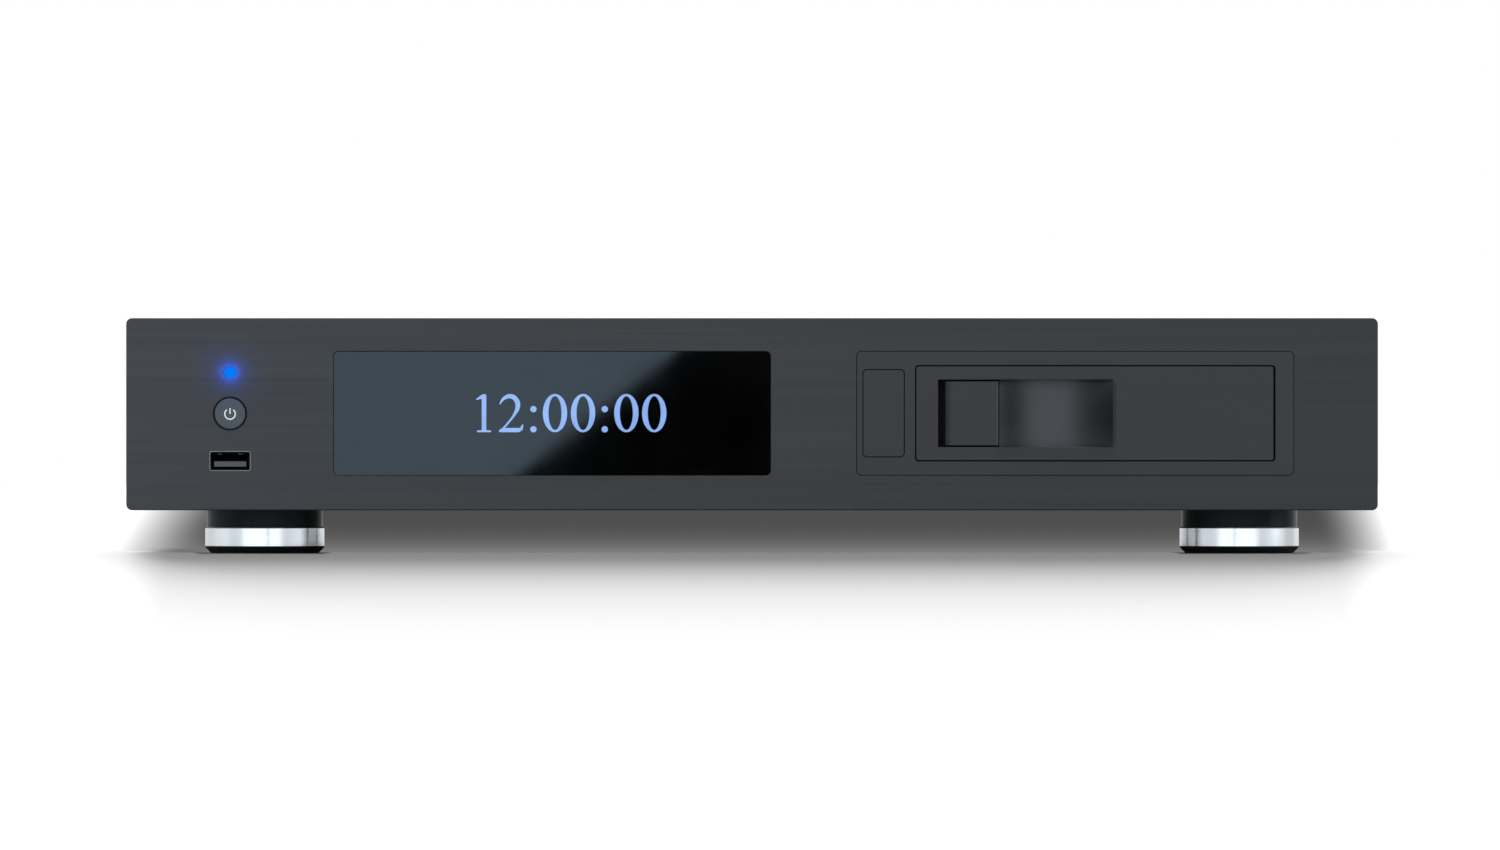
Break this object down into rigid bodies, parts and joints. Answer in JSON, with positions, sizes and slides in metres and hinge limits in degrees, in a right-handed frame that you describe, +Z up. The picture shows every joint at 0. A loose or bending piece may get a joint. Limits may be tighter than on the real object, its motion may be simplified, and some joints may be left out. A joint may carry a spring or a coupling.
{
  "type": "media player",
  "caption": "Full-width media player with clock display, power button, USB socket and a removable hard drive tray behind a hinged, latched door, on round feet.",
  "frame": {"origin": "on the surface that the player stands on, under the middle of its bounding box", "axes": "+Z up, the faceplate looks along -Y, +X to the right seen from the front"},
  "size_m": [0.43, 0.2976, 0.081],
  "materials": {
    "faceplate": "brushed, anodised dark grey",
    "rack_plastic": "satin dark grey",
    "door_grey": "satin dark grey, brushed look",
    "latch_grey": "satin dark grey",
    "case_black": "fine matt black powder coat",
    "zinc_sheet": "zinc plated sheet",
    "foot_black": "satin black",
    "foot_metal": "polished, turned",
    "rubber": "matt",
    "screw_steel": "plated",
    "screw_black": "black oxide",
    "window_glass": "smoked, glossy",
    "tube_glass": "display tube",
    "light_blue": "clear blue lens",
    "led_body": "clear epoxy",
    "button_grey": "fine turned, anodised",
    "switch_black": "moulded",
    "board_green": "solder mask",
    "socket_steel": "plated",
    "tongue": "moulded",
    "spring_steel": "spring steel",
    "tray_plastic": "satin charcoal",
    "heat_sink": "extruded",
    "copper_wound": "taped winding",
    "capacitor": "sleeved",
    "inlet_black": "moulded",
    "brass": "plated",
    "ribbon": "flat cable",
    "red_cable": "cable jacket",
    "brown_wire": "wire jacket"
  },
  "bodies": {
    "chassis": {"faceplate": "faceplate", "front_frame": "zinc_sheet", "bottom_pan": "zinc_sheet", "top_cover": "case_black", "rear_panel": "case_black", "foot_screws": "screw_steel", "display_window": "window_glass", "display_tube": "tube_glass", "led_lens": "light_blue", "status_led": "led_body", "push_switches": "switch_black", "front_board": "board_green", "usb_front_shell": "socket_steel", "usb_front_tongue": "tongue", "rack_bezel": "rack_plastic", "rack_board": "board_green", "latch_keeper": "spring_steel", "rack_cage": "zinc_sheet", "rack_guides": "switch_black", "rack_posts": "screw_steel", "backplane_board": "board_green", "drive_connector": "switch_black", "main_board": "board_green", "heat_sink": "heat_sink", "power_board": "board_green", "transformer": "copper_wound", "smoothing_capacitors": "capacitor", "board_standoffs": "brass", "board_screws": "screw_steel", "mains_inlet": "inlet_black", "mains_switch": "inlet_black", "video_sockets": "socket_steel", "ethernet_socket": "socket_steel", "usb_rear_sockets": "socket_steel", "phono_sockets": "brass", "ribbon_cable": "ribbon", "data_cable": "red_cable", "mains_wires": "brown_wire", "case_screws": "screw_black", "faceplate_screws": "screw_steel", "foot_neck_1": "foot_black", "foot_ring_1": "foot_metal", "foot_pad_1": "rubber", "foot_neck_2": "foot_black", "foot_ring_2": "foot_metal", "foot_pad_2": "rubber", "foot_neck_3": "foot_black", "foot_ring_3": "foot_metal", "foot_pad_3": "rubber", "foot_neck_4": "foot_black", "foot_ring_4": "foot_metal", "foot_pad_4": "rubber"},
    "power_button": {"power_button": "button_grey"},
    "rack_button": {"rack_button": "rack_plastic"},
    "tray": {"drive_tray": "tray_plastic", "hinge_pin": "screw_steel"},
    "door": {"tray_door": "door_grey", "latch_spring": "spring_steel"},
    "latch": {"door_latch": "latch_grey"},
    "rocker": {"mains_rocker": "switch_black"}
  },
  "joints": [
    {"name": "power_button_press", "type": "slide", "parent": "chassis", "child": "power_button", "axis": [0, 1, 0], "range_m": [0, 0.0008], "stiffness_N_per_m": 900, "springref_m": -0.0006},
    {"name": "rack_button_press", "type": "slide", "parent": "chassis", "child": "rack_button", "axis": [0, 1, 0], "range_m": [0, 0.0008], "stiffness_N_per_m": 900, "springref_m": -0.0006},
    {"name": "tray_slide", "type": "slide", "parent": "chassis", "child": "tray", "axis": [0, -1, 0], "range_m": [0, 0.14], "deforming": ["latch_keeper"]},
    {"name": "door_swing", "type": "hinge", "parent": "tray", "child": "door", "pos_m": [0.17575, -0.1462, 0.0483], "axis": [0, 0, 1], "range_deg": [0, 90]},
    {"name": "latch_slide", "type": "slide", "parent": "door", "child": "latch", "axis": [-1, 0, 0], "range_m": [0, 0.0023], "stiffness_N_per_m": 400, "springref_m": -0.001, "deforming": ["latch_spring"]},
    {"name": "mains_rocker_tilt", "type": "hinge", "parent": "chassis", "child": "rocker", "pos_m": [0.098, 0.1368, 0.048], "axis": [-1, 0, 0], "range_deg": [0, 16]}
  ]
}
